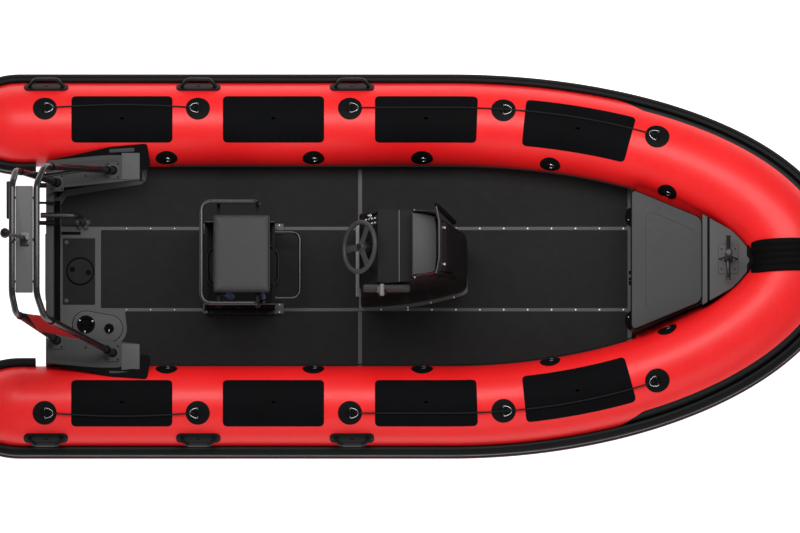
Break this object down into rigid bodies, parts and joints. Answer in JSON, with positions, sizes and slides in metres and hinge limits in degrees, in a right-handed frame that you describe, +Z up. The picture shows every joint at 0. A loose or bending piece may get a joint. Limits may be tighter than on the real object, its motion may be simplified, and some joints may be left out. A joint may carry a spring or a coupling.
{
  "type": "rigid inflatable boat",
  "caption": "Open rigid inflatable boat: V hull with an air collar, helm console with wheel and throttle, sprung jockey seat, stern arch, bow locker.",
  "frame": {"origin": "underside of the keel guard, under the middle of the boat", "axes": "+X towards the bow, +Y to port, +Z up"},
  "size_m": [5.696, 2.47, 2.003],
  "materials": {
    "red_fabric": "satin coated fabric",
    "black_rubber": "matt moulded rubber",
    "deck_foam": "fine non-slip foam",
    "grey_paint": "satin",
    "light_grey": "satin",
    "black_metal": "semi-gloss powder coat",
    "black_plastic": "semi-gloss",
    "wheel_rubber": "satin grip",
    "seat_vinyl": "coated vinyl",
    "smoked_acrylic": "gloss",
    "bright_steel": "polished",
    "hull_alloy": "satin",
    "tank_plastic": "matt",
    "rope": "twisted cord"
  },
  "bodies": {
    "boat": {"collar_port": "red_fabric", "collar_starboard": "red_fabric", "collar_bow": "red_fabric", "strake_port": "black_rubber", "strake_starboard": "black_rubber", "strake_bow": "black_rubber", "bow_guard": "black_rubber", "rigging_conduit": "black_rubber", "grab_handle_1": "black_rubber", "grab_handle_2": "black_rubber", "grab_handle_3": "black_rubber", "grab_handle_4": "black_rubber", "grab_handle_5": "black_rubber", "grab_handle_6": "black_rubber", "deck_pad_port": "deck_foam", "deck_pad_starboard": "deck_foam", "deck_pad_centre": "deck_foam", "fuel_hatch": "deck_foam", "deck_plate": "grey_paint", "transom": "grey_paint", "quarter_box_port": "grey_paint", "quarter_box_starboard": "grey_paint", "filler_plate": "grey_paint", "bow_locker": "grey_paint", "bow_deck": "grey_paint", "arch_plate": "grey_paint", "throttle_box": "grey_paint", "console_shelf": "light_grey", "samson_post": "black_metal", "arch_frame": "black_metal", "light_mast": "black_metal", "seat_base": "black_metal", "shock_body": "black_metal", "windscreen_rail": "black_metal", "console": "black_plastic", "helm_boss": "black_plastic", "windscreen": "smoked_acrylic", "footrest": "bright_steel", "hull_shell": "hull_alloy", "keel_guard": "hull_alloy", "stringer_port": "hull_alloy", "stringer_starboard": "hull_alloy", "fuel_tank": "tank_plastic", "lifeline_aft_port": "rope", "lifeline_aft_starboard": "rope", "lifeline_fore_port": "rope", "lifeline_fore_starboard": "rope", "lifeline_inner_port": "rope", "lifeline_inner_starboard": "rope"},
    "helm_wheel": {"steering_wheel": "wheel_rubber"},
    "throttle": {"throttle_lever": "black_metal"},
    "key": {"ignition_key": "bright_steel"},
    "locker_lid": {"bow_locker_lid": "light_grey"},
    "hatch_cap": {"inspection_cap": "black_plastic"},
    "fuel_cap": {"fuel_filler_cap": "black_plastic"},
    "isolator": {"battery_switch": "black_plastic"},
    "sprung_seat": {"seat_frame": "black_metal", "seat_cushion": "seat_vinyl", "seat_rail": "bright_steel", "shock_rod": "bright_steel"}
  },
  "joints": [
    {"name": "helm_turn", "type": "hinge", "parent": "boat", "child": "helm_wheel", "pos_m": [-0.257, 0, 1.356], "axis": [-0.7878, 0, 0.6159], "range_deg": [-540, 540]},
    {"name": "throttle_swing", "type": "hinge", "parent": "boat", "child": "throttle", "pos_m": [-0.115, -0.3, 1.31], "axis": [0, 1, 0], "range_deg": [-60, 60]},
    {"name": "key_turn", "type": "hinge", "parent": "boat", "child": "key", "pos_m": [-0.18205, 0.205, 1.32279], "axis": [-0.7878, 0, 0.6159], "range_deg": [0, 60]},
    {"name": "locker_lid_hinge", "type": "hinge", "parent": "boat", "child": "locker_lid", "pos_m": [1.946, 0, 0.824], "axis": [0, 1, 0], "range_deg": [0, 100]},
    {"name": "hatch_cap_turn", "type": "hinge", "parent": "boat", "child": "hatch_cap", "pos_m": [-2.047, -0.016, 0.4004], "axis": [0, 0, 1], "range_deg": [0, 45]},
    {"name": "fuel_cap_turn", "type": "hinge", "parent": "boat", "child": "fuel_cap", "pos_m": [-2.01, -0.359, 0.406], "axis": [0, 0, 1], "range_deg": [0, 90]},
    {"name": "isolator_turn", "type": "hinge", "parent": "boat", "child": "isolator", "pos_m": [-1.862, -0.385, 0.406], "axis": [0, 0, 1], "range_deg": [0, 90]},
    {"name": "seat_travel", "type": "slide", "parent": "boat", "child": "sprung_seat", "axis": [0, 0, 1], "range_m": [-0.1, 0], "stiffness_N_per_m": 6000, "springref_m": 0.08}
  ]
}
